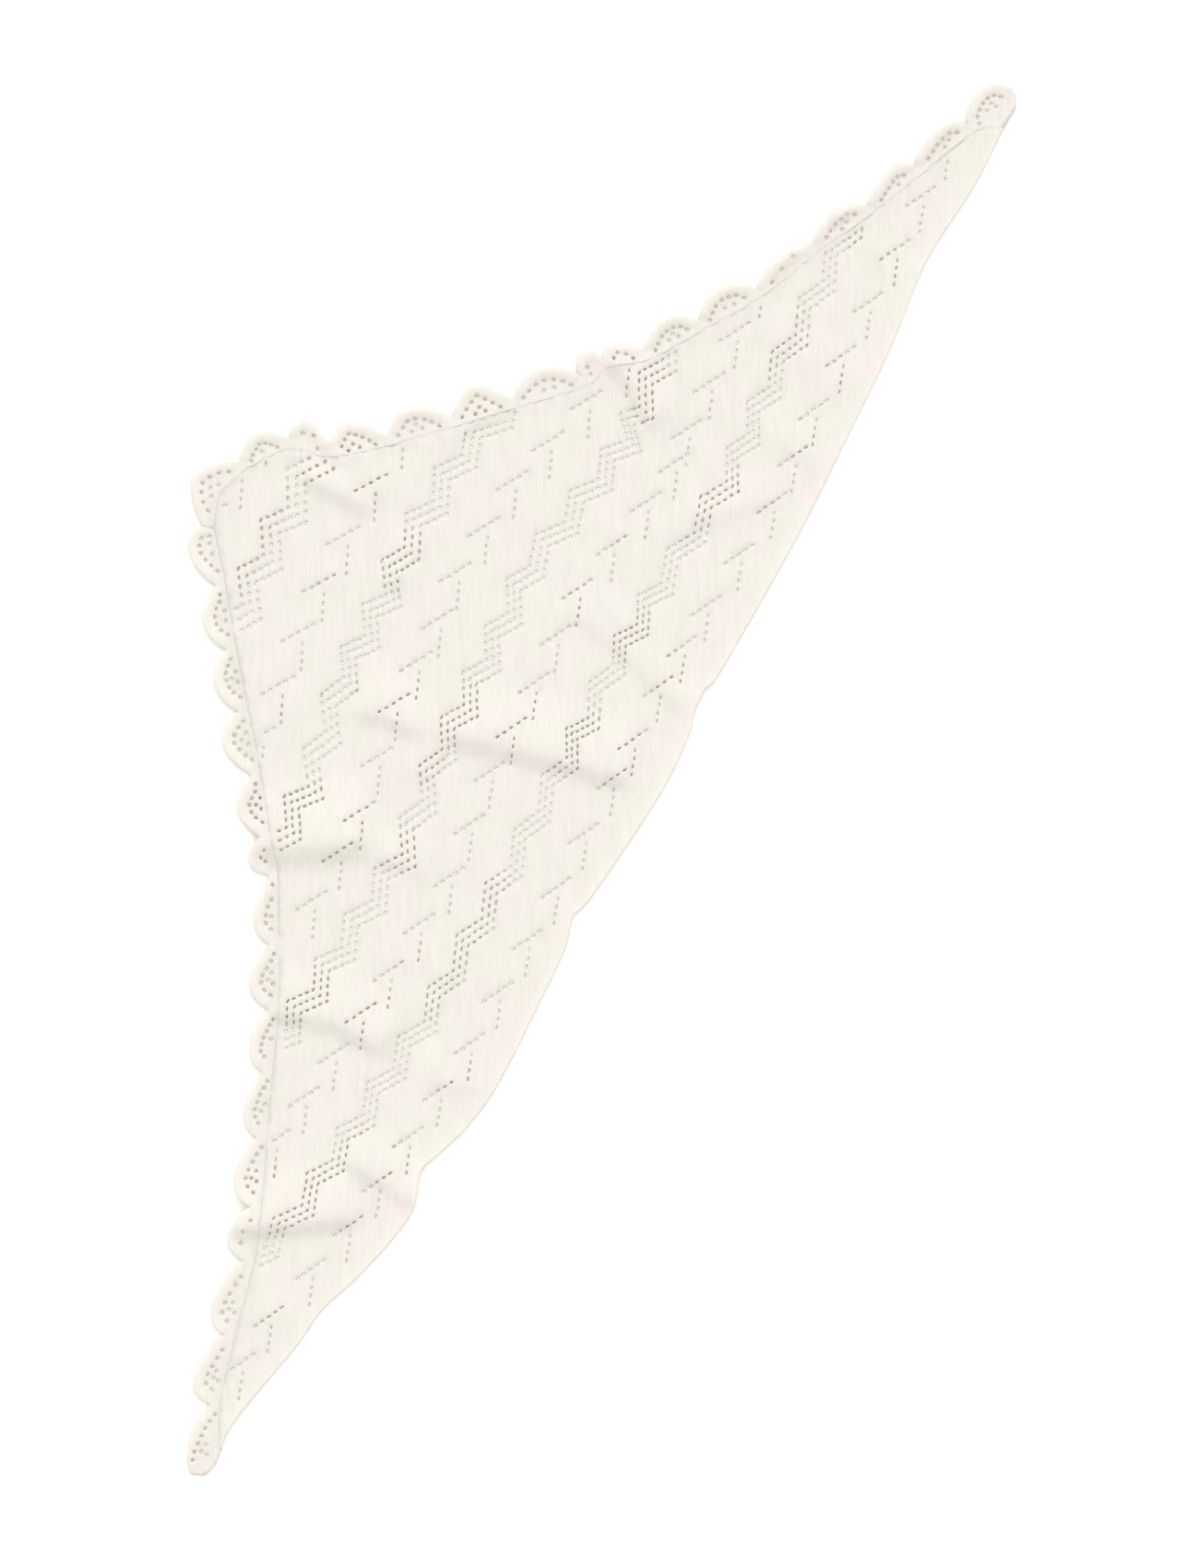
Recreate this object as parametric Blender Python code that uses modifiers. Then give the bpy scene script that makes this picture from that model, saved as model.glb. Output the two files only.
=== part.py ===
"""A triangle shawl in fine pointelle knit, laid out flat on a surface.

One knitted panel, long edge along X and point towards +Y, with a scalloped lace
edging sewn along each short side. The left and right edgings meet at the point.
The cloth is one thin wall: flat underneath, lifted where the loose folds cross it
and at the curled rims of the scallops. The tables are in millimetres.
"""
import math
from collections import namedtuple

import bpy
from mathutils import Vector
from mathutils.geometry import delaunay_2d_cdt

MM = 0.001

# Driving sizes, in millimetres
WALL = 1.8             # thickness of the knit
SEAM_INSET = 9.0       # from a cusp of the edging in to the seam
SEAM_GAP = 0.32        # clearance between sewn pieces
SEAM_STEPS = 8         # facets of the seam from one cusp to the next
HEM_STEPS = 2          # facets of the long edge between its points
CREST_STEPS = 6        # facets of a fold's crest between its points
RIM_STEP = 7.5         # length of one facet along a scallop
RIM_BAND = 6.5         # width of the curled rim
CURL_SPREAD = 0.7      # below 1 the curl keeps its height for more of the scallop
EYELET_LONG = 5.2      # corner to corner of an eyelet along its row
EYELET_WIDE = 4.4      # and across it
EYELET_SPACE = 6.0     # least distance from one eyelet's centre to the next
EYELET_MARGIN = 3.9    # and to the edge of its strip
LACE_INSET = 11.0      # from the rim in to the row of eyelets
LACE_COUNT = 7         # eyelets in the row inside a rim
LOW_END = (12.5, 5.0)      # the row's end from the lower cusp, sideways and up
HIGH_END = (-5.5, -9.0)    # and from the higher cusp
POINT_END = (14.0, 4.0)    # and from both cusps of the scallop at the point
TRIO_ACROSS = 7.5      # the three eyelets within the row: spacing across
TRIO_DOWN = 7.0        # and down
TRIO_LEAST = 5.8       # and down in a shallow scallop
TRIO_CORNER = 10.5     # from the row's corner across to the first of the three
TRIO_INSET = 9.0       # from the row down to it
POINT_TRIO = (6.5, 5.0)    # spacing across and down in the scallop at the point
SHALLOW, DEEP = 18.0, 42.0     # scallop heights at which the trio is at its smallest and full size
TRIO_SMALLEST = 0.45
FOLD_STATION = 24.0    # spacing of points along a fold
FOLD_FADE = 22.0       # length over which a fold dies out at its ends
OPEN_GRID = 64.0       # spacing of points where the cloth is flat
CLEARANCE = 3.0        # least distance from an inner point to an edge
SAME_POINT = 0.05      # points this close are one
ARC_STEPS = 24         # points that work out one arc of a scallop

# A scallop runs from its cusp over its crown to the next scallop's cusp.
# fullness is the exponent of its two arcs, where 1 is straight, 2 an ellipse and more
# is boxier. bulge is how far its steep side leans out over the cusp, curl how far the
# rim stands up, and lace says how much of the eyelet figure is open.
Scallop = namedtuple("Scallop", "cusp_x cusp_y crown_x crown_y fullness bulge curl lace")
LEFT_SCALLOPS = [
    Scallop(-755.0, 3.0, -710.0, 24.0, 1.5, 0.0, 2.5, "full"),
    Scallop(-690.0, 21.0, -660.0, 48.0, 3.0, 0.0, 3.0, "full"),
    Scallop(-627.0, 42.0, -592.0, 69.0, 2.3, 0.0, 3.0, "full"),
    Scallop(-558.0, 62.0, -539.0, 88.0, 2.3, 0.0, 3.0, "part"),
    Scallop(-510.0, 82.0, -478.0, 113.5, 2.3, 0.0, 3.0, "full"),
    Scallop(-452.0, 111.0, -405.0, 140.0, 2.3, 0.0, 5.0, "full"),
    Scallop(-396.0, 138.0, -357.0, 165.0, 2.3, 0.0, 5.0, "full"),
    Scallop(-343.0, 163.0, -316.0, 195.0, 2.3, 0.0, 3.5, "full"),
    Scallop(-290.0, 194.0, -246.0, 224.5, 2.3, 0.0, 5.0, "full"),
    Scallop(-235.0, 228.0, -221.0, 253.0, 2.3, 4.0, 2.5, "part"),
    Scallop(-207.0, 252.0, -182.0, 288.5, 2.3, 0.0, 3.0, "full"),
    Scallop(-162.0, 290.0, -137.0, 333.0, 2.1, 0.0, 3.0, "full"),
    Scallop(-117.0, 330.0, -82.0, 371.0, 2.3, 0.0, 4.5, "full"),
    Scallop(-73.0, 370.0, -40.0, 408.0, 2.3, 0.0, 4.5, "full"),
    Scallop(-26.0, 409.0, 3.0, 453.5, 1.8, 0.0, 3.0, "full"),
]
RIGHT_SCALLOPS = [
    Scallop(16.0, 446.5, 50.0, 479.5, 1.35, 0.0, 2.5, "point"),
    Scallop(86.0, 448.5, 106.0, 452.0, 2.3, 0.0, 3.0, "full"),
    Scallop(127.0, 420.0, 136.0, 422.0, 2.3, 13.0, 2.5, "part"),
    Scallop(141.0, 382.0, 158.0, 385.5, 2.3, 0.0, 3.0, "full"),
    Scallop(177.0, 342.0, 195.0, 344.0, 2.1, 0.0, 4.0, "full"),
    Scallop(222.5, 299.0, 250.0, 301.0, 2.3, 0.0, 3.5, "full"),
    Scallop(267.0, 259.0, 277.0, 259.5, 2.3, 0.0, 4.0, "full"),
    Scallop(318.5, 212.5, 332.0, 225.0, 2.3, 3.0, 3.0, "part"),
    Scallop(342.0, 205.0, 351.0, 209.0, 1.4, 2.0, 2.5, "full"),
    Scallop(369.0, 175.0, 387.0, 178.5, 2.3, 0.0, 4.5, "full"),
    Scallop(419.0, 145.5, 438.0, 149.5, 2.0, 0.0, 5.0, "full"),
    Scallop(472.0, 115.0, 484.0, 116.0, 1.6, 0.0, 6.0, "part"),
    Scallop(535.0, 91.0, 551.0, 93.5, 1.8, 0.0, 6.0, "full"),
    Scallop(592.0, 66.0, 604.0, 67.0, 3.2, 0.0, 6.0, "full"),
    Scallop(647.0, 45.0, 659.0, 49.0, 2.3, 0.0, 6.0, "full"),
    Scallop(707.0, 22.5, 730.0, 31.0, 2.3, 0.0, 3.0, "full"),
]
RIGHT_TIP = (757.0, 4.0)

# The long edge, left to right: it wanders where the folds run off it.
EdgePoint = namedtuple("EdgePoint", "x y")
LONG_EDGE = [
    EdgePoint(-749.0, -9.0), EdgePoint(-735.0, -12.5), EdgePoint(-720.0, -9.5),
    EdgePoint(-700.0, -6.5), EdgePoint(-660.0, -11.0), EdgePoint(-600.0, -21.0),
    EdgePoint(-560.0, -24.0), EdgePoint(-520.0, -36.0), EdgePoint(-470.0, -47.0),
    EdgePoint(-435.0, -49.5), EdgePoint(-400.0, -37.5), EdgePoint(-380.0, -43.0),
    EdgePoint(-340.0, -54.0), EdgePoint(-290.0, -58.0), EdgePoint(-200.0, -52.0),
    EdgePoint(-150.0, -47.0), EdgePoint(-122.0, -38.5), EdgePoint(-95.0, -44.0),
    EdgePoint(20.0, -50.0), EdgePoint(80.0, -45.0), EdgePoint(100.0, -38.5),
    EdgePoint(125.0, -36.0), EdgePoint(150.0, -40.0), EdgePoint(300.0, -37.0),
    EdgePoint(380.0, -31.0), EdgePoint(490.0, -22.0), EdgePoint(575.0, -9.5),
    EdgePoint(660.0, -12.0), EdgePoint(720.0, -8.0), EdgePoint(742.0, -8.5),
    EdgePoint(752.0, -3.0),
]
LEFT_SEAM_EDGE = 2     # the seam leaves the long edge at this point of the left end
RIGHT_SEAM_EDGE = -3   # and at this one of the right end
APEX_SEAM = (50.0, 450.0)

# The largest folds. Each crest runs through three points. The steep side faces -X.
Fold = namedtuple("Fold", "x0 y0 x1 y1 x2 y2 height steep gentle")
FOLDS = {
    "left_shoulder": Fold(-534, 96, -502, 48, -450, -24, 11.0, 18, 36),
    "left_hem": Fold(-426, 52, -423, 0, -426, -60, 7.0, 15, 26),
    "left_third": Fold(-340, 166, -314, 96, -316, 30, 9.0, 17, 30),
    "beside_small_scallop": Fold(-216, 262, -184, 206, -150, 158, 13.0, 24, 38),
    "centre_upper": Fold(-54, 244, -44, 205, -36, 158, 8.0, 16, 30),
    "centre": Fold(-28, 150, 0, 62, 26, -58, 10.0, 17, 32),
    "point_inner": Fold(110, 402, 110, 360, 112, 306, 9.0, 14, 14),
    "point_outer": Fold(152, 404, 142, 368, 130, 316, 9.0, 13, 24),
    "right_pinch": Fold(340, 214, 330, 160, 306, 100, 9.0, 16, 28),
    "right_centre": Fold(122, 128, 122, 60, 100, -46, 5.0, 16, 26),
    "right_hem": Fold(364, 48, 364, 8, 362, -40, 4.0, 15, 24),
}
FOLD_RAMPS = (0.5, 0.5)    # where each side of a fold gets a middle row of points

CLOTH_COLOUR = (0.905, 0.880, 0.815, 1.0)
EDGING_COLOUR = (0.915, 0.892, 0.832, 1.0)
CLOTH_ROUGHNESS = 0.92


def clear_scene():
    """Start from an empty scene."""
    for obj in list(bpy.data.objects):
        bpy.data.objects.remove(obj, do_unlink=True)


def direction(start, end):
    """Unit vector from one point to another."""
    way = Vector(end) - Vector(start)
    return way.normalized()


def inward(before, after):
    """Unit vector into the cloth, for a walk along a short side from left to right."""
    way = direction(before, after)
    return Vector((way.y, -way.x))


def smooth_curve(points, steps):
    """A Catmull-Rom curve through the points, with so many steps between two of them."""
    points = [Vector(p) for p in points]
    padded = [2 * points[0] - points[1]] + points + [2 * points[-1] - points[-2]]
    curve = []
    for a, b, c, d in zip(padded, padded[1:], padded[2:], padded[3:]):
        for step in range(steps):
            t = step / steps
            curve.append(0.5 * (2 * b + (c - a) * t + (2 * a - 5 * b + 4 * c - d) * t * t
                                + (3 * b - a - 3 * c + d) * t ** 3))
    return curve + [points[-1]]


def resampled(points, step):
    """Points along a polyline, evenly spaced by about the step."""
    points = [Vector(p) for p in points]
    lengths = [0.0]
    for a, b in zip(points, points[1:]):
        lengths.append(lengths[-1] + (b - a).length)
    count = max(1, round(lengths[-1] / step))
    result = []
    segment = 0
    for k in range(count + 1):
        along = lengths[-1] * k / count
        while segment < len(points) - 2 and lengths[segment + 1] < along:
            segment += 1
        share = (along - lengths[segment]) / (lengths[segment + 1] - lengths[segment])
        result.append(points[segment].lerp(points[segment + 1], share))
    return result


def scallop_arcs(scallop, end, inset_start=(0, 0), inset_crown=(0, 0), inset_end=(0, 0)):
    """The scallop's outline: up from its cusp to the crown, then down to the next cusp."""
    start = Vector((scallop.cusp_x, scallop.cusp_y)) + Vector(inset_start)
    crown = Vector((scallop.crown_x, scallop.crown_y)) + Vector(inset_crown)
    end = Vector(end) + Vector(inset_end)
    power = 2 / scallop.fullness
    rises_left = scallop.cusp_y < end.y
    outline = []
    for k in range(ARC_STEPS + 1):
        angle = math.pi / 2 * k / ARC_STEPS
        across, up = math.cos(angle) ** power, math.sin(angle) ** power
        lean = scallop.bulge * math.sin(2 * angle) if rises_left else 0.0
        outline.append(Vector((crown.x + (start.x - crown.x) * across - lean,
                               start.y + (crown.y - start.y) * up)))
    for k in range(1, ARC_STEPS + 1):
        angle = math.pi / 2 * k / ARC_STEPS
        across, up = math.sin(angle) ** power, math.cos(angle) ** power
        lean = 0.0 if rises_left else scallop.bulge * math.sin(2 * angle)
        outline.append(Vector((crown.x + (end.x - crown.x) * across + lean,
                               end.y + (crown.y - end.y) * up)))
    return outline


def scallop_ends(scallops, last):
    """The point where each scallop ends, which is the next one's cusp."""
    cusps = [(s.cusp_x, s.cusp_y) for s in scallops]
    return cusps[1:] + [last]


def fold_path(fold):
    """The crest of a fold, from its three points."""
    return smooth_curve([(fold.x0, fold.y0), (fold.x1, fold.y1), (fold.x2, fold.y2)], CREST_STEPS)


FOLD_PATHS = {name: fold_path(fold) for name, fold in FOLDS.items()}


def fold_lift(name, point):
    """How far one fold lifts the cloth at a point, in millimetres."""
    fold, path = FOLDS[name], FOLD_PATHS[name]
    length = sum((b - a).length for a, b in zip(path, path[1:]))
    nearest, side, along, walked = 1e9, 0.0, 0.0, 0.0
    for a, b in zip(path, path[1:]):
        way = b - a
        share = min(1.0, max(0.0, (point - a).dot(way) / way.length_squared))
        foot = a + share * way
        distance = (point - foot).length
        if distance < nearest:
            nearest = distance
            side = way.x * (point.y - foot.y) - way.y * (point.x - foot.x)
            along = walked + share * way.length
        walked += way.length
    width = fold.gentle if side > 0 else fold.steep
    if nearest >= width:
        return 0.0
    fade = min(1.0, along / FOLD_FADE, (length - along) / FOLD_FADE)
    fade = fade * fade * (3 - 2 * fade)
    return fold.height * fade * 0.5 * (1 + math.cos(math.pi * nearest / width))


def cloth_lift(point):
    """Height of the underside above the surface, in millimetres."""
    return sum(fold_lift(name, point) for name in FOLDS)


def fold_points():
    """Rows of points along each fold: its two feet, the middle of each side, and its crest."""
    points = []
    for name, fold in FOLDS.items():
        stations = resampled(FOLD_PATHS[name], FOLD_STATION)
        offsets = (-fold.steep, -fold.steep * FOLD_RAMPS[0], 0.0,
                   fold.gentle * FOLD_RAMPS[1], fold.gentle)
        for k, station in enumerate(stations):
            before, after = stations[max(k - 1, 0)], stations[min(k + 1, len(stations) - 1)]
            way = direction(before, after)
            across = Vector((-way.y, way.x))
            points += [station + across * offset for offset in offsets]
    return points


def open_points(low, high):
    """A wide grid over the flat cloth, with every other row set over by half a step."""
    points = []
    rows = math.ceil((high[1] - low[1]) / OPEN_GRID)
    for row in range(rows + 1):
        x = low[0] + (row % 2) * OPEN_GRID / 2
        while x < high[0]:
            points.append(Vector((x, low[1] + row * OPEN_GRID)))
            x += OPEN_GRID
    return points


def inside(point, outline):
    """True where the point lies within the closed outline."""
    found = False
    for a, b in zip(outline, outline[1:] + outline[:1]):
        if (a.y > point.y) != (b.y > point.y):
            if point.x < a.x + (b.x - a.x) * (point.y - a.y) / (b.y - a.y):
                found = not found
    return found


def distance_to(point, outline):
    """Distance from a point to a closed outline."""
    least = 1e9
    for a, b in zip(outline, outline[1:] + outline[:1]):
        way = b - a
        share = min(1.0, max(0.0, (point - a).dot(way) / max(way.length_squared, 1e-9)))
        least = min(least, (point - a - share * way).length)
    return least


def kept_points(points, outline, holes):
    """Those points that lie in the cloth and clear of its edges, eyelets and one another."""
    kept = []
    for point in points:
        if not inside(point, outline) or distance_to(point, outline) < CLEARANCE:
            continue
        if any((point - sum(hole, Vector((0, 0))) / len(hole)).length < EYELET_LONG
               for hole in holes):
            continue
        if all((point - other).length >= CLEARANCE for other in kept):
            kept.append(point)
    return kept


def eyelet(centre, way):
    """A four-cornered eyelet, longer along its row than across it."""
    across = Vector((-way.y, way.x))
    return [centre - way * EYELET_LONG / 2, centre - across * EYELET_WIDE / 2,
            centre + way * EYELET_LONG / 2, centre + across * EYELET_WIDE / 2]


def lace_row(scallop, end):
    """The line of the row of eyelets inside a scallop's rim."""
    if scallop.lace == "point":
        start_inset, end_inset = POINT_END, (-POINT_END[0], POINT_END[1])
    elif scallop.cusp_y < end[1]:
        start_inset, end_inset = LOW_END, HIGH_END
    else:
        start_inset, end_inset = (-HIGH_END[0], HIGH_END[1]), (-LOW_END[0], LOW_END[1])
    return scallop_arcs(scallop, end, start_inset, (0, -LACE_INSET), end_inset)


def lace_trio(scallop, end, row):
    """The centres of the three eyelets within the row, which make a corner or a V."""
    if scallop.lace == "point":
        head = Vector((scallop.crown_x, scallop.crown_y - LACE_INSET - TRIO_INSET))
        across, down = POINT_TRIO
        return [head, head + Vector((-across, -down)), head + Vector((across, -down))]
    rises_left = scallop.cusp_y < end[1]
    height = scallop.crown_y - min(scallop.cusp_y, end[1])
    size = min(1.0, max(TRIO_SMALLEST, (height - SHALLOW) / (DEEP - SHALLOW)))
    side = 1 if rises_left else -1
    corner_x = row[0].x if rises_left else row[-1].x
    head = Vector((corner_x + side * TRIO_CORNER, scallop.crown_y - LACE_INSET - TRIO_INSET * size))
    above = min(row, key=lambda place: abs(place.x - head.x))
    head.y = min(head.y, above.y - EYELET_SPACE)
    down = max(TRIO_LEAST, TRIO_DOWN * size)
    return [head, head + Vector((side * TRIO_ACROSS, 0)), head - Vector((0, down))]


def lace_figure(scallop, end):
    """The eyelets of one scallop: a row inside its rim and three within that."""
    row = lace_row(scallop, end)
    length = sum((b - a).length for a, b in zip(row, row[1:]))
    centres = resampled(row, length / (LACE_COUNT - 1))
    if scallop.lace == "part":
        centres = centres[1:LACE_COUNT:2]
    eyelets = []
    for k, centre in enumerate(centres):
        before, after = centres[max(k - 1, 0)], centres[min(k + 1, len(centres) - 1)]
        eyelets.append(eyelet(centre, direction(before, after)))
    if scallop.lace != "part":
        eyelets += [eyelet(centre, Vector((1.0, 0.0))) for centre in lace_trio(scallop, end, row)]
    return eyelets


def clear_eyelets(eyelets, outline):
    """Those eyelets that lie clear of one another and of the strip's outline."""
    kept, centres = [], []
    for corners in eyelets:
        centre = sum(corners, Vector((0, 0))) / len(corners)
        if any((centre - other).length < EYELET_SPACE for other in centres):
            continue
        if distance_to(centre, outline) > EYELET_MARGIN:
            kept.append(corners)
            centres.append(centre)
    return kept


def seam_points(inset):
    """The seam, from the left end of the long edge over the point to the right end."""
    scallops = LEFT_SCALLOPS + RIGHT_SCALLOPS
    cusps = [Vector((s.cusp_x, s.cusp_y)) for s in scallops] + [Vector(RIGHT_TIP)]
    seam = []
    for before, cusp, after in zip(cusps, cusps[1:], cusps[2:]):
        seam.append(cusp + inset * inward(before, after))
    apex = len(LEFT_SCALLOPS)
    extra = inset - SEAM_INSET
    first = Vector(LONG_EDGE[LEFT_SEAM_EDGE]) + Vector((extra, 0))
    last = Vector(LONG_EDGE[RIGHT_SEAM_EDGE]) - Vector((extra, 0))
    peak = Vector(APEX_SEAM) - Vector((0, extra))
    left = [first] + seam[:apex]
    right = seam[apex:] + [last]
    return left, peak, right


def seam_curve(points):
    """The seam as a smooth curve, with points close enough to follow the folds across it."""
    return smooth_curve(points, SEAM_STEPS)


def panel_outline():
    """The panel's edge, anticlockwise: the long edge, then the seam back from right to left."""
    left, peak, right = seam_points(SEAM_INSET + SEAM_GAP)
    inner_edge = LONG_EDGE[LEFT_SEAM_EDGE + 1:RIGHT_SEAM_EDGE]
    hem = smooth_curve([left[0], *inner_edge, right[-1]], HEM_STEPS)
    seam = seam_curve(left) + [peak] + seam_curve(right)
    return hem + list(reversed(seam))[1:-1]


def rim_of(scallops, last):
    """The scalloped rim, left to right, with the lift of each of its points."""
    rim, curl = [], []
    for scallop, end in zip(scallops, scallop_ends(scallops, last)):
        arc = resampled(scallop_arcs(scallop, end), RIM_STEP)
        for k, point in enumerate(arc[:-1]):
            rim.append(point)
            share = math.sin(math.pi * k / (len(arc) - 1))
            curl.append(scallop.curl * share ** CURL_SPREAD)
    rim.append(Vector(last))
    curl.append(0.0)
    return rim, curl


def band_points(rim):
    """Points that bound the curled rim on its inner side."""
    points = []
    for before, point, after in zip(rim, rim[1:], rim[2:]):
        points.append(point + RIM_BAND * inward(before, after))
    return points


def lift_wall(obj, lift_of):
    """Apply the wall to the flat sheet, then lift both its faces alike, so seams stay parallel."""
    graph = bpy.context.evaluated_depsgraph_get()
    lifted = bpy.data.meshes.new_from_object(obj.evaluated_get(graph))
    for vertex in lifted.vertices:
        vertex.co.z += lift_of(vertex.co.xy / MM) * MM
    obj.modifiers.clear()
    obj.data = lifted


def sheet(name, outline, holes, inner, lift_of, colour, collection):
    """A named sheet of cloth: its outline, less its holes, lifted and given its thickness."""
    inner = kept_points(inner, outline, holes)
    points = list(outline)
    faces = [list(range(len(outline)))]
    for hole in holes:
        faces.append(list(range(len(points), len(points) + len(hole))))
        points += hole
    points += inner
    flat = [point * MM for point in points]
    placed, _, triangles, _, _, owners = delaunay_2d_cdt(flat, [], faces, 0, 1e-7, True)
    cloth = [tri for tri, owner in zip(triangles, owners) if list(owner) == [0]]
    used = sorted({index for tri in cloth for index in tri})
    place = {index: k for k, index in enumerate(used)}
    corners = []
    for index in used:
        point = Vector(placed[index]) / MM
        corners.append((point.x * MM, point.y * MM, 0.0))
    mesh = bpy.data.meshes.new(name)
    mesh.from_pydata(corners, [], [[place[index] for index in tri] for tri in cloth])
    mesh.update()
    obj = bpy.data.objects.new(name, mesh)
    collection.objects.link(obj)
    wall = obj.modifiers.new("Wall", "SOLIDIFY")
    wall.thickness = WALL * MM
    wall.offset = 1.0
    lift_wall(obj, lift_of)
    material = bpy.data.materials.new(name)
    material.use_nodes = True
    shader = material.node_tree.nodes["Principled BSDF"]
    shader.inputs["Base Color"].default_value = colour
    shader.inputs["Roughness"].default_value = CLOTH_ROUGHNESS
    obj.data.materials.append(material)
    return obj


def make_panel(collection):
    """The knitted panel between the long edge and the two seams."""
    outline = panel_outline()
    xs, ys = [p.x for p in outline], [p.y for p in outline]
    inner = fold_points() + open_points((min(xs), min(ys) + OPEN_GRID / 4), (max(xs), max(ys)))
    return sheet("main_panel", outline, [], inner, cloth_lift, CLOTH_COLOUR, collection)


def make_edging(name, scallops, last, inner_side, collection):
    """One scalloped strip, from its rim and the line of its other side."""
    rim, curls = rim_of(scallops, last)
    outline = inner_side + list(reversed(rim))
    holes = []
    for scallop, end in zip(scallops, scallop_ends(scallops, last)):
        holes += lace_figure(scallop, end)
    holes = clear_eyelets(holes, outline)

    def lift_of(point):
        curl = sum(lift for place, lift in zip(rim, curls) if (place - point).length < SAME_POINT)
        return cloth_lift(point) + curl

    inner = band_points(rim) + fold_points()
    return sheet(name, outline, holes, inner, lift_of, EDGING_COLOUR, collection)


def make_edgings(collection):
    """The left and right edgings, which meet at the cusp left of the point."""
    left, peak, right = seam_points(SEAM_INSET)
    meeting = RIGHT_SCALLOPS[0]
    left_last = (meeting.cusp_x - SEAM_GAP, meeting.cusp_y)
    left_seam = seam_curve(left[:-1] + [left[-1] - Vector((SEAM_GAP, 0))])
    left_end = [Vector(point) for point in LONG_EDGE[:LEFT_SEAM_EDGE]]
    make_edging("left_edging", LEFT_SCALLOPS, left_last, left_end + left_seam, collection)
    right_seam = [left[-1], peak] + seam_curve(right)
    right_end = [Vector(point) for point in LONG_EDGE[RIGHT_SEAM_EDGE + 1:]]
    make_edging("right_edging", RIGHT_SCALLOPS, RIGHT_TIP, right_seam + right_end, collection)


def stand_on_origin(collection):
    """Set the whole shawl so that the bottom centre of its box is the origin."""
    bpy.context.view_layer.update()
    graph = bpy.context.evaluated_depsgraph_get()
    low, high = Vector((1e9,) * 3), Vector((-1e9,) * 3)
    for obj in collection.objects:
        evaluated = obj.evaluated_get(graph)
        mesh = evaluated.to_mesh()
        for vertex in mesh.vertices:
            low = Vector(map(min, low, vertex.co))
            high = Vector(map(max, high, vertex.co))
        evaluated.to_mesh_clear()
    for obj in collection.objects:
        obj.location = (-(low.x + high.x) / 2, -(low.y + high.y) / 2, -low.z)


def main():
    clear_scene()
    collection = bpy.data.collections.new("triangle_shawl")
    bpy.context.scene.collection.children.link(collection)
    make_panel(collection)
    make_edgings(collection)
    stand_on_origin(collection)


main()
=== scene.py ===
import math
from collections import namedtuple

import bpy
import numpy as np
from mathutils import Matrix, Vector
from mathutils.geometry import delaunay_2d_cdt
from mathutils.kdtree import KDTree


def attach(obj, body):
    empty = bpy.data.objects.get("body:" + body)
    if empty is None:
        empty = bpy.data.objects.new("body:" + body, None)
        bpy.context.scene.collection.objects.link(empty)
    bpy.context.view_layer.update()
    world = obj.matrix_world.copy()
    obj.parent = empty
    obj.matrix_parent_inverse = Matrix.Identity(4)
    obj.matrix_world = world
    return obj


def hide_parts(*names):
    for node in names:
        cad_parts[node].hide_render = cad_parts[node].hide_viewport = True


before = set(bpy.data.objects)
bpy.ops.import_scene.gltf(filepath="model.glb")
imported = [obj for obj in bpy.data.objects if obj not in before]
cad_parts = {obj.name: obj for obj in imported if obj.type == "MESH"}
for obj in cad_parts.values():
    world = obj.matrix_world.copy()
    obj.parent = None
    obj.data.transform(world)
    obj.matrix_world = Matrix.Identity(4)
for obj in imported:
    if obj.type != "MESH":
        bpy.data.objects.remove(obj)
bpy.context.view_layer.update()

# The tables are in millimetres, with the long edge along X and the point towards +Y.
MM = 0.001
WALL = 1.8
SEAM_INSET = 9.0
TUCK = 0.9                 # the edgings run this far under the panel's edge
TUCK_DROP = 0.8
SEAM_EASE = 0.15           # a row of points just outside the panel's edge, this far off,
SEAM_ROW = 2.0             # and so far apart, holds the edging level with it
JOIN_GAP = 0.05
EDGE_ROUND = 1.1           # how far in the cloth's outer edges are rounded
SEAM_CLEAR = 1.2           # the edging's own grid keeps this clear of the tucked strip
ON_SEAM = 0.2              # a point this near the seam lies on it
SEAM_STEPS = 16
HEM_STEPS = 8
CREST_STEPS = 8
RIM_STEP = 2.4
CURL_SPREAD = 0.7
LACE_INSET = 11.0
LACE_COUNT = 7
LOW_END = (12.5, 5.0)
HIGH_END = (-5.5, -9.0)
POINT_END = (14.0, 4.0)
TRIO_ACROSS, TRIO_DOWN, TRIO_LEAST = 7.5, 7.0, 5.8
TRIO_CORNER, TRIO_INSET = 10.5, 9.0
POINT_TRIO = (6.5, 5.0)
SHALLOW, DEEP, TRIO_SMALLEST = 18.0, 42.0, 0.45
EYELET_SPACE, EYELET_MARGIN = 6.0, 3.9
EYELET_EASE = 0.8          # the edgings' eyelets may lie this much closer than in the solids
PANEL_EYELET_SPACE = 4.6
FOLD_FADE = 22.0
ARC_STEPS = 24

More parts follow.
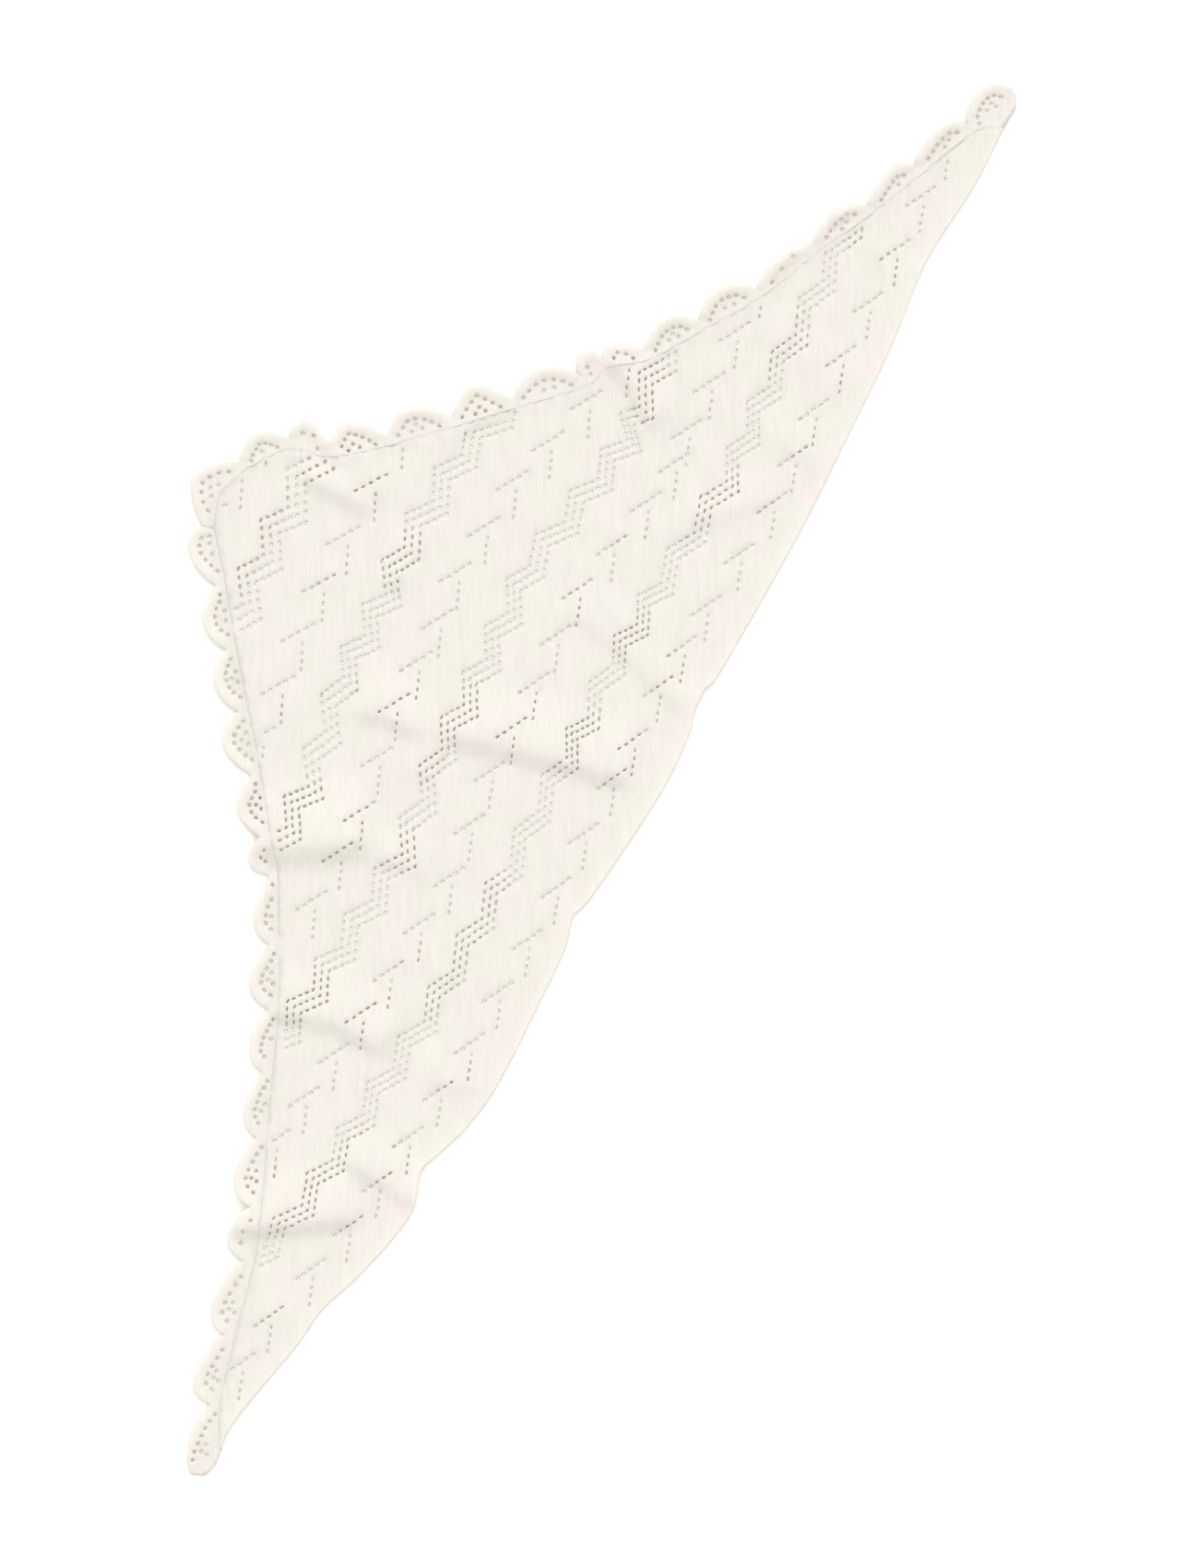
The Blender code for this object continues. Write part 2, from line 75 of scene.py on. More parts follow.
Scallop = namedtuple("Scallop", "cusp_x cusp_y crown_x crown_y fullness bulge curl lace")
LEFT_SCALLOPS = [
    Scallop(-755.0, 3.0, -710.0, 24.0, 1.5, 0.0, 2.5, "full"),
    Scallop(-690.0, 21.0, -660.0, 48.0, 3.0, 0.0, 3.0, "full"),
    Scallop(-627.0, 42.0, -592.0, 69.0, 2.3, 0.0, 3.0, "full"),
    Scallop(-558.0, 62.0, -539.0, 88.0, 2.3, 0.0, 3.0, "part"),
    Scallop(-510.0, 82.0, -478.0, 113.5, 2.3, 0.0, 3.0, "full"),
    Scallop(-452.0, 111.0, -405.0, 140.0, 2.3, 0.0, 5.0, "full"),
    Scallop(-396.0, 138.0, -357.0, 165.0, 2.3, 0.0, 5.0, "full"),
    Scallop(-343.0, 163.0, -316.0, 195.0, 2.3, 0.0, 3.5, "full"),
    Scallop(-290.0, 194.0, -246.0, 224.5, 2.3, 0.0, 5.0, "full"),
    Scallop(-235.0, 228.0, -221.0, 253.0, 2.3, 4.0, 2.5, "part"),
    Scallop(-207.0, 252.0, -182.0, 288.5, 2.3, 0.0, 3.0, "full"),
    Scallop(-162.0, 290.0, -137.0, 333.0, 2.1, 0.0, 3.0, "full"),
    Scallop(-117.0, 330.0, -82.0, 371.0, 2.3, 0.0, 4.5, "full"),
    Scallop(-73.0, 370.0, -40.0, 408.0, 2.3, 0.0, 4.5, "full"),
    Scallop(-26.0, 409.0, 3.0, 453.5, 1.8, 0.0, 3.0, "full"),
]
RIGHT_SCALLOPS = [
    Scallop(16.0, 446.5, 50.0, 479.5, 1.35, 0.0, 2.5, "point"),
    Scallop(86.0, 448.5, 106.0, 452.0, 2.3, 0.0, 3.0, "full"),
    Scallop(127.0, 420.0, 136.0, 422.0, 2.3, 13.0, 2.5, "part"),
    Scallop(141.0, 382.0, 158.0, 385.5, 2.3, 0.0, 3.0, "full"),
    Scallop(177.0, 342.0, 195.0, 344.0, 2.1, 0.0, 4.0, "full"),
    Scallop(222.5, 299.0, 250.0, 301.0, 2.3, 0.0, 3.5, "full"),
    Scallop(267.0, 259.0, 277.0, 259.5, 2.3, 0.0, 4.0, "full"),
    Scallop(318.5, 212.5, 332.0, 225.0, 2.3, 3.0, 3.0, "part"),
    Scallop(342.0, 205.0, 351.0, 209.0, 1.4, 2.0, 2.5, "full"),
    Scallop(369.0, 175.0, 387.0, 178.5, 2.3, 0.0, 4.5, "full"),
    Scallop(419.0, 145.5, 438.0, 149.5, 2.0, 0.0, 5.0, "full"),
    Scallop(472.0, 115.0, 484.0, 116.0, 1.6, 0.0, 6.0, "part"),
    Scallop(535.0, 91.0, 551.0, 93.5, 1.8, 0.0, 6.0, "full"),
    Scallop(592.0, 66.0, 604.0, 67.0, 3.2, 0.0, 6.0, "full"),
    Scallop(647.0, 45.0, 659.0, 49.0, 2.3, 0.0, 6.0, "full"),
    Scallop(707.0, 22.5, 730.0, 31.0, 2.3, 0.0, 3.0, "full"),
]
RIGHT_TIP = (757.0, 4.0)

EdgePoint = namedtuple("EdgePoint", "x y")
LONG_EDGE = [
    EdgePoint(-749.0, -9.0), EdgePoint(-735.0, -12.5), EdgePoint(-720.0, -9.5),
    EdgePoint(-700.0, -6.5), EdgePoint(-660.0, -11.0), EdgePoint(-600.0, -21.0),
    EdgePoint(-560.0, -24.0), EdgePoint(-520.0, -36.0), EdgePoint(-470.0, -47.0),
    EdgePoint(-435.0, -49.5), EdgePoint(-400.0, -37.5), EdgePoint(-380.0, -43.0),
    EdgePoint(-340.0, -54.0), EdgePoint(-290.0, -58.0), EdgePoint(-200.0, -52.0),
    EdgePoint(-150.0, -47.0), EdgePoint(-122.0, -38.5), EdgePoint(-95.0, -44.0),
    EdgePoint(20.0, -50.0), EdgePoint(80.0, -45.0), EdgePoint(100.0, -38.5),
    EdgePoint(125.0, -36.0), EdgePoint(150.0, -40.0), EdgePoint(300.0, -37.0),
    EdgePoint(380.0, -31.0), EdgePoint(490.0, -22.0), EdgePoint(575.0, -9.5),
    EdgePoint(660.0, -12.0), EdgePoint(720.0, -8.0), EdgePoint(742.0, -8.5),
    EdgePoint(752.0, -3.0),
]
LEFT_SEAM_EDGE = 2
RIGHT_SEAM_EDGE = -3
APEX_SEAM = (50.0, 450.0)

# Each crest runs through three points. The steep side faces -X.
Fold = namedtuple("Fold", "x0 y0 x1 y1 x2 y2 height steep gentle")
FOLDS = [
    Fold(-540, 98, -507, 50, -460, -14, 8.6, 17, 64),
    Fold(-427, 44, -425, 0, -427, -60, 5.4, 13, 46),
    Fold(-342, 168, -320, 100, -318, 40, 7.0, 16, 58),
    Fold(-218, 262, -186, 206, -150, 158, 10.0, 27, 70),
    Fold(-62, 246, -48, 206, -44, 158, 5.6, 15, 54),
    Fold(-34, 156, -4, 62, 20, -26, 7.6, 19, 64),
    Fold(108, 402, 108, 360, 110, 312, 5.8, 13, 28),
    Fold(148, 404, 138, 368, 126, 306, 3.2, 12, 38),
    Fold(350, 214, 336, 168, 306, 126, 6.0, 13, 46),
    Fold(124, 128, 120, 60, 98, -46, 3.0, 15, 46),
    Fold(362, 48, 360, 8, 360, -40, 2.0, 12, 38),
]
# Creases too small for the solid
CREASES = [
    Fold(-318, 24, -318, -10, -302, -56, 2.4, 14, 38),
    Fold(-170, 160, -160, 132, -150, 92, 4.2, 16, 42),
    Fold(-96, 150, -56, 158, -14, 160, 4.0, 22, 26),
    Fold(-284, 34, -200, 32, -112, 40, 1.8, 16, 26),
    Fold(48, 262, 80, 269, 120, 270, 3.8, 20, 24),
    Fold(190, 290, 224, 282, 262, 258, 1.6, 14, 22),
    Fold(250, 66, 274, 36, 322, -2, 3.0, 16, 44),
    Fold(226, 54, 250, 56, 286, 56, 2.6, 18, 22),
    Fold(386, 66, 430, 68, 486, 72, 1.6, 14, 20),
    Fold(150, 98, 142, 60, 150, 20, 1.3, 12, 26),
    Fold(204, 150, 206, 110, 190, 60, 1.1, 14, 32),
    Fold(-250, 110, -236, 70, -232, 20, 1.2, 14, 32),
    Fold(-600, 40, -590, 10, -570, -22, 1.5, 14, 32),
    Fold(440, 110, 442, 60, 430, -20, 1.4, 14, 36),
    Fold(560, 74, 556, 30, 540, -16, 1.5, 13, 32),
    Fold(-110, 300, -80, 282, -40, 276, 1.3, 14, 26),
    Fold(20, 350, 34, 320, 40, 296, 1.2, 13, 28),
    Fold(-44, 392, 20, 396, 96, 402, 1.6, 18, 24),
]
HEM_CURL, HEM_CURL_WIDTH = 1.5, 15.0       # the long edge turns up a little
SEAM_RIDGE, SEAM_RIDGE_WIDTH = 1.2, 3.6    # the seam stands up as a soft ridge
LACE_SINK, LACE_SINK_WIDTH = 0.8, 10.0     # a zigzag band lies lower than the cloth beside it
DASH_SINK, DASH_SINK_WIDTH = 0.8, 5.5      # and so does the cloth just below a long dash
RIM_FLAT, RIM_FOOT = 5.0, 14.0             # a curled rim is level this far in, and down by there
RIM_PUFF, RIM_PUFF_IN, RIM_PUFF_WIDTH = 0.8, 3.4, 2.8      # the rim is a soft roll

# The pointelle: zigzag bands of three lines, and under each valley a two-dash motif.
# A knot says where a band's lowest valley lies after so many repeats. Folds take up some.
Band = namedtuple("Band", "line_gap rise stretch motif_drop zigzag")
BANDS = {
    "hem": Band(6.9, 12.6, 1.00, 33.0, True),
    "lower": Band(8.2, 14.0, 1.06, 33.0, True),
    "upper": Band(8.7, 15.0, 1.16, 36.0, True),
    "point": Band(10.7, 17.0, 1.30, 37.0, True),
    "tip": Band(10.7, 17.0, 1.30, 37.0, False),
}
Knot = namedtuple("Knot", "band repeat x y")
KNOTS = [
    Knot("hem", -4, -702, 50), Knot("hem", -2, -598, 48), Knot("hem", -1, -540, 37),
    Knot("hem", 0, -487, 28), Knot("hem", 2, -387, 22), Knot("hem", 4, -282, 17),
    Knot("hem", 7, -115, 22), Knot("hem", 9, 0, 29), Knot("hem", 10, 42, 31),
    Knot("hem", 11, 97, 36), Knot("hem", 13, 185, 36), Knot("hem", 15, 300, 32),
    Knot("hem", 17, 395, 43), Knot("hem", 20, 563, 54), Knot("hem", 23, 728, 68),
    Knot("lower", -2, -453, 128), Knot("lower", 0, -355, 122), Knot("lower", 2, -262, 117),
    Knot("lower", 4, -157, 113), Knot("lower", 6, -53, 131), Knot("lower", 8, 40, 138),
    Knot("lower", 10, 137, 148), Knot("lower", 12, 240, 134), Knot("lower", 13, 285, 130),
    Knot("lower", 14, 318, 136), Knot("lower", 15, 367, 140), Knot("lower", 18, 526, 152),
    Knot("upper", -1, -242, 216), Knot("upper", 0, -190, 218), Knot("upper", 1, -147, 220),
    Knot("upper", 3, -43, 244), Knot("upper", 5, 45, 249), Knot("upper", 6, 92, 257),
    Knot("upper", 8, 193, 255), Knot("upper", 9, 242, 245), Knot("upper", 11, 345, 222),
    Knot("point", -3, -185, 330), Knot("point", -1, -84, 347), Knot("point", 0, -32, 356),
    Knot("point", 1, 18, 363), Knot("point", 2, 68, 366), Knot("point", 4, 180, 372),
    Knot("tip", 0, 22, 484), Knot("tip", 1, 70, 483), Knot("tip", 2, 118, 483),
]
LINE_STEP = 1.5            # spacing of the points along a band's middle line
PEAK_SHARE = 0.55          # a zigzag peaks this far through its repeat
LEG_EYELETS = 4            # eyelets from a valley to a peak, and as many back
LINE_LEAN = 1.5            # each line of a band lies this far right of the one below
MOTIF_RIGHT = 7.5          # the motif's long dash lies this far right of its valley
Dash = namedtuple("Dash", "x0 y0 x1 y1 count")
LONG_DASH = Dash(-14.0, 6.5, 13.5, -6.0, 5)
SHORT_DASH = Dash(-29.0, -15.5, -7.5, -7.0, 4)
HOLLOW_LEFT, HOLLOW_DOWN = 3.0, 5.0        # from a long dash to the hollow below it
HOLLOW_POINTS = 12
PANEL_MARGIN = 5.2
Eyelet = namedtuple("Eyelet", "x y way_x way_y long wide")
RISING_SIZE = (6.3, 2.6)
FALLING_SIZE = (5.4, 3.1)
LONG_DASH_SIZE = (5.6, 3.2)
SHORT_DASH_SIZE = (5.0, 2.4)
RIM_SIZE = (4.9, 4.0)
PLACE_VARIES = 0.35        # how unevenly the eyelets are knitted: their places,
LONG_VARIES, WIDE_VARIES = 0.10, 0.14      # and their sizes, as shares
EYELET_SIDES = 8
EYELET_TAPER = 0.5         # an eyelet narrows downwards to this share of its size
LIP = 1.2                  # an eyelet's rim of yarn: its width,
LIP_RISE = 0.25            # how far it stands up outside
LIP_DROP = 0.40            # and how far it turns down into the eyelet

PANEL_GRID = 7.6
EDGING_GRID = 3.2
ROW_SHARE = 0.866          # a row of a triangular grid, as a share of its pitch
EDGE_SHARE = 0.35          # the grid keeps this share of its pitch from the edge
CLEARANCE = 1.5
EYELET_CLEAR = 3.2         # no point of the cloth lies nearer to an eyelet's middle
RING_SHARE = 0.75          # a ring point nearer than this share of the lip to an eyelet goes
ROW_GAP_SHARE = 0.85       # and so does an edge row's point too near a corner of the edge
MERGE_DISTANCE = 1e-5

WALE_ANGLE = math.radians(30.7)
CAMERA_ROLL = math.radians(-59.3)
VIEW_CENTRE = (-2.2, 3.7)
VIEW_HEIGHT = 1472.2
LENS, SENSOR = 85.0, 36.0

SHIFT = Vector((-1.0, -210.22, 0.0))


def unit(way):
    """The vector at length one."""
    length = math.hypot(way[0], way[1])
    return np.array([way[0] / length, way[1] / length])


def smooth_curve(points, steps):
    """A Catmull-Rom curve through the points."""
    points = np.asarray(points, float)
    padded = np.vstack([2 * points[0] - points[1], points, 2 * points[-1] - points[-2]])
    curve = []
    for a, b, c, d in zip(padded, padded[1:], padded[2:], padded[3:]):
        for step in range(steps):
            t = step / steps
            curve.append(0.5 * (2 * b + (c - a) * t + (2 * a - 5 * b + 4 * c - d) * t * t
                                + (3 * b - a - 3 * c + d) * t ** 3))
    curve.append(points[-1])
    return np.array(curve)


def resampled(points, step):
    """Points along a polyline, evenly spaced by about the step."""
    points = np.asarray(points, float)
    lengths = np.concatenate([[0.0], np.cumsum(np.hypot(*np.diff(points, axis=0).T))])
    count = max(1, round(lengths[-1] / step))
    along = np.linspace(0.0, lengths[-1], count + 1)
    return np.column_stack([np.interp(along, lengths, points[:, k]) for k in (0, 1)])


def scallop_arcs(scallop, end, inset_start=(0, 0), inset_crown=(0, 0), inset_end=(0, 0)):
    """The scallop's outline: up from its cusp to the crown, then down to the next cusp."""
    start = (scallop.cusp_x + inset_start[0], scallop.cusp_y + inset_start[1])
    crown = (scallop.crown_x + inset_crown[0], scallop.crown_y + inset_crown[1])
    end = (end[0] + inset_end[0], end[1] + inset_end[1])
    power = 2 / scallop.fullness
    rises_left = scallop.cusp_y < end[1]
    outline = []
    for k in range(ARC_STEPS + 1):
        angle = math.pi / 2 * k / ARC_STEPS
        across, up = math.cos(angle) ** power, math.sin(angle) ** power
        lean = scallop.bulge * math.sin(2 * angle) if rises_left else 0.0
        outline.append((crown[0] + (start[0] - crown[0]) * across - lean,
                        start[1] + (crown[1] - start[1]) * up))
    for k in range(1, ARC_STEPS + 1):
        angle = math.pi / 2 * k / ARC_STEPS
        across, up = math.sin(angle) ** power, math.cos(angle) ** power
        lean = 0.0 if rises_left else scallop.bulge * math.sin(2 * angle)
        outline.append((crown[0] + (end[0] - crown[0]) * across + lean,
                        end[1] + (crown[1] - end[1]) * up))
    return np.array(outline)


def scallop_ends(scallops, last):
    """The point where each scallop ends, which is the next one's cusp."""
    return [(s.cusp_x, s.cusp_y) for s in scallops][1:] + [last]


def fold_lift(fold, points):
    """How far one fold lifts the cloth at each of the points."""
    path = smooth_curve([(fold.x0, fold.y0), (fold.x1, fold.y1), (fold.x2, fold.y2)], CREST_STEPS)
    starts, ways = path[:-1], np.diff(path, axis=0)
    lengths = np.hypot(*ways.T)
    walked = np.concatenate([[0.0], np.cumsum(lengths)])
    lift = np.zeros(len(points))
    reach = max(fold.steep, fold.gentle)
    low, high = path.min(axis=0) - reach, path.max(axis=0) + reach
    near = np.flatnonzero(((points > low) & (points < high)).all(axis=1))
    offsets = points[near][:, None, :] - starts[None]
    share = np.clip((offsets * ways).sum(axis=2) / lengths ** 2, 0.0, 1.0)
    offsets = offsets - share[..., None] * ways
    distances = np.hypot(offsets[..., 0], offsets[..., 1])
    best = distances.argmin(axis=1)
    rows = np.arange(len(near))
    distance, offset, way = distances[rows, best], offsets[rows, best], ways[best]
    side = way[:, 0] * offset[:, 1] - way[:, 1] * offset[:, 0]
    along = walked[best] + share[rows, best] * lengths[best]
    width = np.where(side > 0, fold.gentle, fold.steep)
    fade = np.clip(np.minimum(along, walked[-1] - along) / FOLD_FADE, 0.0, 1.0)
    fade = fade * fade * (3 - 2 * fade)
    profile = 0.5 * (1 + np.cos(math.pi * np.minimum(distance / width, 1.0)))
    lift[near] = fold.height * fade * profile
    return lift


def cloth_lift(points):
    """Height of the underside above the surface."""
    return sum(fold_lift(fold, points) for fold in FOLDS + CREASES)


def inside(points, outline):
    """True for each point within the closed outline."""
    found = np.zeros(len(points), bool)
    for a, b in zip(outline, np.roll(outline, -1, axis=0)):
        spans = (a[1] > points[:, 1]) != (b[1] > points[:, 1])
        if spans.any():
            cross = a[0] + (b[0] - a[0]) * (points[:, 1] - a[1]) / (b[1] - a[1])
            found ^= spans & (points[:, 0] < cross)
    return found


def tree_of(points):
    """A search tree over points of the plane."""
    tree = KDTree(len(points))
    for k, point in enumerate(points):
        tree.insert((point[0], point[1], 0.0), k)
    tree.balance()
    return tree


def nearest(tree, points):
    """Index of and distance to the nearest point of the tree."""
    found = [tree.find((p[0], p[1], 0.0))[1:] for p in points]
    return np.array([k for k, _ in found]), np.array([d for _, d in found])


def knot_line(name):
    """A band's repeats and the places of its lowest valleys."""
    knots = [knot for knot in KNOTS if knot.band == name]
    return ([k.repeat for k in knots], [k.x for k in knots], [k.y for k in knots])


def zigzag(name, rng):
    """The eyelets of one band: three lines that rise and fall together."""
    band = BANDS[name]
    repeats, xs, ys = knot_line(name)
    steps = 2 * LEG_EYELETS
    eyelets = []
    for line in range(3):
        places = []
        for k in range(repeats[0] * steps, repeats[-1] * steps + 1):
            step = k % steps
            if step <= LEG_EYELETS:
                share, up = PEAK_SHARE * step / LEG_EYELETS, step / LEG_EYELETS
            else:
                back = (step - LEG_EYELETS) / LEG_EYELETS
                share, up = PEAK_SHARE + (1 - PEAK_SHARE) * back, 1 - back
            repeat = k // steps + share
            places.append((np.interp(repeat, repeats, xs) + line * LINE_LEAN,
                           np.interp(repeat, repeats, ys) + band.rise * up + line * band.line_gap,
                           0 < step <= LEG_EYELETS))
        for before, (x, y, rising), after in zip(places, places[1:], places[2:]):
            way = unit((after[0] - before[0], after[1] - before[1]))
            long, wide = RISING_SIZE if rising else FALLING_SIZE
            eyelets.append(varied(x, y, way, long, wide * band.stretch, rng))
    return eyelets


def band_line(name):
    """Points along the middle line of a zigzag band."""
    band = BANDS[name]
    repeats, xs, ys = knot_line(name)
    places = []
    steps = 2 * LEG_EYELETS
    for k in range(steps * repeats[0], steps * repeats[-1] + 1):
        share = (k / steps) % 1
        up = share / PEAK_SHARE if share < PEAK_SHARE else (1 - share) / (1 - PEAK_SHARE)
        places.append((np.interp(k / steps, repeats, xs) + LINE_LEAN,
                       np.interp(k / steps, repeats, ys) + band.rise * up + band.line_gap))
    return resampled(places, LINE_STEP)


def dash_lines():
    """Points along the hollow just below each long dash."""
    places = []
    for name, band in BANDS.items():
        repeats, xs, ys = knot_line(name)
        for repeat in range(repeats[0], repeats[-1] + 1):
            x = np.interp(repeat, repeats, xs) + MOTIF_RIGHT - HOLLOW_LEFT
            y = np.interp(repeat, repeats, ys) - band.motif_drop - HOLLOW_DOWN
            for share in np.linspace(0, 1, HOLLOW_POINTS):
                places.append((x + LONG_DASH.x0 + (LONG_DASH.x1 - LONG_DASH.x0) * share,
                               y + LONG_DASH.y0 + (LONG_DASH.y1 - LONG_DASH.y0) * share))
    return np.array(places)


def motifs(name, rng):
    """The two dashes below each valley of a band."""
    band = BANDS[name]
    repeats, xs, ys = knot_line(name)
    eyelets = []
    for repeat in range(repeats[0], repeats[-1] + 1):
        x = np.interp(repeat, repeats, xs) + MOTIF_RIGHT
        y = np.interp(repeat, repeats, ys) - band.motif_drop
        for dash, size in ((LONG_DASH, LONG_DASH_SIZE), (SHORT_DASH, SHORT_DASH_SIZE)):
            way = unit((dash.x1 - dash.x0, (dash.y1 - dash.y0) * band.stretch))
            for k in range(dash.count):
                share = k / (dash.count - 1)
                place = (x + dash.x0 + (dash.x1 - dash.x0) * share,
                         y + (dash.y0 + (dash.y1 - dash.y0) * share) * band.stretch)
                eyelets.append(varied(*place, way, *size, rng))
    return eyelets


def varied(x, y, way, long, wide, rng):
    """An eyelet a little off its place and size, as knitting is."""
    dx, dy, dlong, dwide = rng.uniform(-1.0, 1.0, 4)
    return Eyelet(x + PLACE_VARIES * dx, y + PLACE_VARIES * dy, way[0], way[1],
                  long * (1 + LONG_VARIES * dlong), wide * (1 + WIDE_VARIES * dwide))


def lace_row(scallop, end):
    """The line of the row of eyelets inside a scallop's rim."""
    if scallop.lace == "point":
        start_inset, end_inset = POINT_END, (-POINT_END[0], POINT_END[1])
    elif scallop.cusp_y < end[1]:
        start_inset, end_inset = LOW_END, HIGH_END
    else:
        start_inset, end_inset = (-HIGH_END[0], HIGH_END[1]), (-LOW_END[0], LOW_END[1])
    return scallop_arcs(scallop, end, start_inset, (0, -LACE_INSET), end_inset)


def lace_trio(scallop, end, row):
    """The centres of the three eyelets within the row."""
    if scallop.lace == "point":
        x, y = scallop.crown_x, scallop.crown_y - LACE_INSET - TRIO_INSET
        across, down = POINT_TRIO
        return [(x, y), (x - across, y - down), (x + across, y - down)]
    rises_left = scallop.cusp_y < end[1]
    height = scallop.crown_y - min(scallop.cusp_y, end[1])
    size = min(1.0, max(TRIO_SMALLEST, (height - SHALLOW) / (DEEP - SHALLOW)))
    side = 1 if rises_left else -1
    corner = row[0] if rises_left else row[-1]
    x, y = corner[0] + side * TRIO_CORNER, scallop.crown_y - LACE_INSET - TRIO_INSET * size
    above = row[np.abs(row[:, 0] - x).argmin()]
    y = min(y, above[1] - EYELET_SPACE)
    down = max(TRIO_LEAST, TRIO_DOWN * size)
    return [(x, y), (x + side * TRIO_ACROSS, y), (x, y - down)]


def lace_figure(scallop, end, rng):
    """The eyelets of one scallop: a row inside its rim and three within that."""
    row = lace_row(scallop, end)
    length = np.hypot(*np.diff(row, axis=0).T).sum()
    centres = resampled(row, length / (LACE_COUNT - 1))
    if scallop.lace == "part":
        centres = centres[1:LACE_COUNT:2]
    eyelets = []
    for k, centre in enumerate(centres):
        way = unit(centres[min(k + 1, len(centres) - 1)] - centres[max(k - 1, 0)])
        eyelets.append(varied(*centre, way, *RIM_SIZE, rng))
    if scallop.lace != "part":
        for centre in lace_trio(scallop, end, row):
            eyelets.append(varied(*centre, (1.0, 0.0), *RIM_SIZE, rng))
    return eyelets


def clear_eyelets(eyelets, outline, space, margin):
    """Those eyelets that lie inside, and clear of one another and of the outline."""
    centres = np.array([(e.x, e.y) for e in eyelets])
    _, edge = nearest(tree_of(resampled(np.vstack([outline, outline[:1]]), 1.0)), centres)
    fits = inside(centres, outline) & (edge > margin)
    kept = []
    for eyelet, centre, good in zip(eyelets, centres, fits):
        if good and all(math.hypot(centre[0] - o.x, centre[1] - o.y) >= space for o in kept):
            kept.append(eyelet)
    return kept


def oval(eyelet, grow):
    """The corners of an eyelet, or of a ring round it."""
    corners = []
    for k in range(EYELET_SIDES):
        angle = 2 * math.pi * (k + 0.5) / EYELET_SIDES
        a = math.cos(angle) * (eyelet.long / 2 + grow)
        b = math.sin(angle) * (eyelet.wide / 2 + grow)
        corners.append((eyelet.x + eyelet.way_x * a - eyelet.way_y * b,
                        eyelet.y + eyelet.way_y * a + eyelet.way_x * b))
    return corners


def seam_points(inset):
    """The seam, from the left end of the long edge over the point to the right end."""
    scallops = LEFT_SCALLOPS + RIGHT_SCALLOPS
    cusps = np.array([(s.cusp_x, s.cusp_y) for s in scallops] + [RIGHT_TIP])
    seam = []
    for before, cusp, after in zip(cusps, cusps[1:], cusps[2:]):
        way = unit(after - before)
        seam.append(cusp + inset * np.array([way[1], -way[0]]))
    apex = len(LEFT_SCALLOPS)
    extra = inset - SEAM_INSET
    first = np.array(LONG_EDGE[LEFT_SEAM_EDGE]) + (extra, 0)
    last = np.array(LONG_EDGE[RIGHT_SEAM_EDGE]) - (extra, 0)
    peak = np.array(APEX_SEAM) - (0, extra)
    return [first] + seam[:apex], peak, seam[apex:] + [last]


def panel_outline():
    """The panel's edge, anticlockwise, and which of its points lie on the long edge."""
    left, peak, right = seam_points(SEAM_INSET)
    inner_edge = LONG_EDGE[LEFT_SEAM_EDGE + 1:RIGHT_SEAM_EDGE]
    hem = smooth_curve([left[0], *inner_edge, right[-1]], HEM_STEPS)
    seam = np.vstack([smooth_curve(left, SEAM_STEPS), [peak], smooth_curve(right, SEAM_STEPS)])
    return np.vstack([hem, seam[::-1][1:-1]]), hem, seam


def rim_of(scallops, last):
    """The scalloped rim, left to right, with the lift of each of its points."""
    rim, curl = [], []
    for scallop, end in zip(scallops, scallop_ends(scallops, last)):
        arc = resampled(scallop_arcs(scallop, end), RIM_STEP)
        for k, point in enumerate(arc[:-1]):
            rim.append(point)
            share = math.sin(math.pi * k / (len(arc) - 1))
            curl.append(scallop.curl * share ** CURL_SPREAD)
    rim.append(last)
    curl.append(0.0)
    return np.array(rim), np.array(curl)


def grid(outline, eyelets, pitch):
    """Points over the cloth, clear of its edge and its eyelets."""
    low, high = outline.min(axis=0), outline.max(axis=0)
    points = []
    for row, y in enumerate(np.arange(low[1] + pitch / 2, high[1], pitch * ROW_SHARE)):
        xs = np.arange(low[0] + (row % 2) * pitch / 2, high[0], pitch)
        points.append(np.column_stack([xs, np.full(len(xs), y)]))
    points = np.vstack(points)
    points = points[inside(points, outline)]
    _, edge = nearest(tree_of(resampled(np.vstack([outline, outline[:1]]), 1.0)), points)
    points = points[edge > max(CLEARANCE, EDGE_SHARE * pitch)]
    rings = np.array([corner for e in eyelets for corner in oval(e, LIP)])
    _, ring = nearest(tree_of(rings), points)
    centres = np.array([(e.x, e.y) for e in eyelets])
    _, centre = nearest(tree_of(centres), points)
    return points[(ring > CLEARANCE) & (centre > EYELET_CLEAR)]


def edge_row(line, inset, outline, eyelets):
    """Points just inside an edge, to the left of its way, that keep its rounding narrow."""
    line = resampled(line, RIM_STEP)
    ways = np.gradient(line, axis=0)
    ways = ways / np.hypot(*ways.T)[:, None]
    row = line + inset * np.column_stack([-ways[:, 1], ways[:, 0]])
    _, edge = nearest(tree_of(resampled(line, 0.5)), row)
    _, centre = nearest(tree_of([(e.x, e.y) for e in eyelets]), row)
    return row[inside(row, outline) & (edge > ROW_GAP_SHARE * inset) & (centre > EYELET_CLEAR)]


